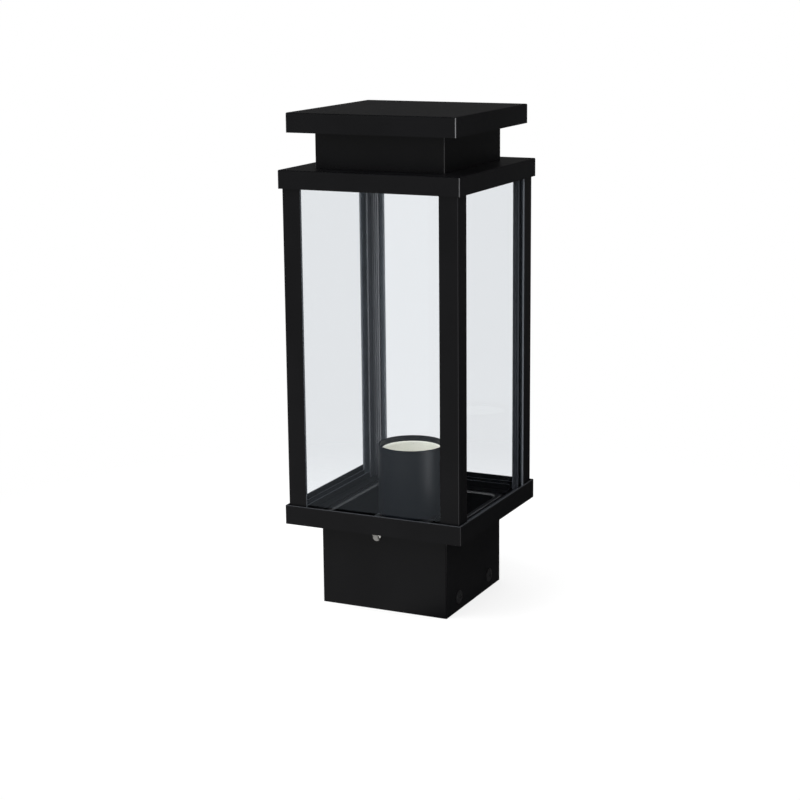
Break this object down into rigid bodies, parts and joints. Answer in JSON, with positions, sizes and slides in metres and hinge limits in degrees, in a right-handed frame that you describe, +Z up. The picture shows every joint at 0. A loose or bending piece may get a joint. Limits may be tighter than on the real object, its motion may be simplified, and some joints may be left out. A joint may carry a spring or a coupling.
{
  "type": "post top lantern",
  "caption": "Square glazed post top lantern with a stepped roof, a lift-off cage, a lamp holder and a collar that slides over a post.",
  "frame": {"origin": "middle of the post collar's foot", "axes": "+Z up through the lamp holder to the cap; -Y is the wide face of the picture's left, +X the face with two of the clamp screws"},
  "size_m": [0.127, 0.127, 0.3283],
  "materials": {
    "black_coat": "fine satin powder coat",
    "black_screw": "blackened steel, semi-gloss",
    "clear_glass": "clear, polished",
    "cream_ceramic": "unglazed, smooth",
    "bright_nickel": "bright nickel plate",
    "zinc_steel": "bright zinc plate",
    "plated_brass": "nickel-plated brass sheet",
    "plain_brass": "plain brass, dulled",
    "white_plastic": "moulded, slightly translucent",
    "brown_insulation": "smooth soft plastic",
    "blue_insulation": "smooth soft plastic"
  },
  "bodies": {
    "base": {"block_screw": "zinc_steel", "bracket_screws": "zinc_steel", "ceramic_holder": "cream_ceramic", "earth_terminal": "plain_brass", "holder_cup": "black_coat", "holder_nuts": "zinc_steel", "holder_screws": "zinc_steel", "lamp_bracket": "zinc_steel", "lead_live": "brown_insulation", "lead_neutral": "blue_insulation", "post_collar": "black_coat", "stud_washers": "zinc_steel", "terminal_block": "white_plastic", "terminal_screws": "plain_brass", "threaded_shell": "plated_brass", "tray": "black_coat"},
    "cage": {"cap": "black_coat", "neck": "black_coat", "roof_plate": "black_coat", "tie_nut": "zinc_steel", "tie_washer": "zinc_steel", "roof_nuts": "zinc_steel", "upper_ring": "black_coat", "lower_ring": "black_coat", "post_screws_top": "zinc_steel", "post_screws_bottom": "zinc_steel", "post_front_left": "black_coat", "post_front_right": "black_coat", "post_rear_right": "black_coat", "post_rear_left": "black_coat", "glass_front": "clear_glass", "glass_right": "clear_glass", "glass_rear": "clear_glass", "glass_left": "clear_glass"},
    "nut_front": {"cage_nut_front": "bright_nickel"},
    "nut_rear": {"cage_nut_rear": "bright_nickel"},
    "clamp_left_front": {"clamp_screw_left_front": "black_screw"},
    "clamp_left_rear": {"clamp_screw_left_rear": "black_screw"},
    "clamp_right_front": {"clamp_screw_right_front": "black_screw"},
    "clamp_right_rear": {"clamp_screw_right_rear": "black_screw"},
    "contact": {"contact_tongue": "plain_brass"}
  },
  "joints": [
    {"name": "cage_lift", "type": "slide", "parent": "base", "child": "cage", "axis": [0, 0, 1], "range_m": [0, 0.06]},
    {"name": "nut_front_unscrew", "type": "slide", "parent": "base", "child": "nut_front", "axis": [0, 0, -1], "range_m": [0, 0.01]},
    {"name": "nut_rear_unscrew", "type": "slide", "parent": "base", "child": "nut_rear", "axis": [0, 0, -1], "range_m": [0, 0.01]},
    {"name": "contact_press", "type": "hinge", "parent": "base", "child": "contact", "pos_m": [-0.012, 0, 0.0638], "axis": [0, 1, 0], "range_deg": [0, 3.5], "stiffness_Nm_per_rad": 0.05, "springref_deg": -1.15},
    {"name": "clamp_left_front_unscrew", "type": "slide", "parent": "base", "child": "clamp_left_front", "axis": [-1, 0, 0], "range_m": [0, 0.008]},
    {"name": "clamp_left_rear_unscrew", "type": "slide", "parent": "base", "child": "clamp_left_rear", "axis": [-1, 0, 0], "range_m": [0, 0.008]},
    {"name": "clamp_right_front_unscrew", "type": "slide", "parent": "base", "child": "clamp_right_front", "axis": [1, 0, 0], "range_m": [0, 0.008]},
    {"name": "clamp_right_rear_unscrew", "type": "slide", "parent": "base", "child": "clamp_right_rear", "axis": [1, 0, 0], "range_m": [0, 0.008]}
  ]
}
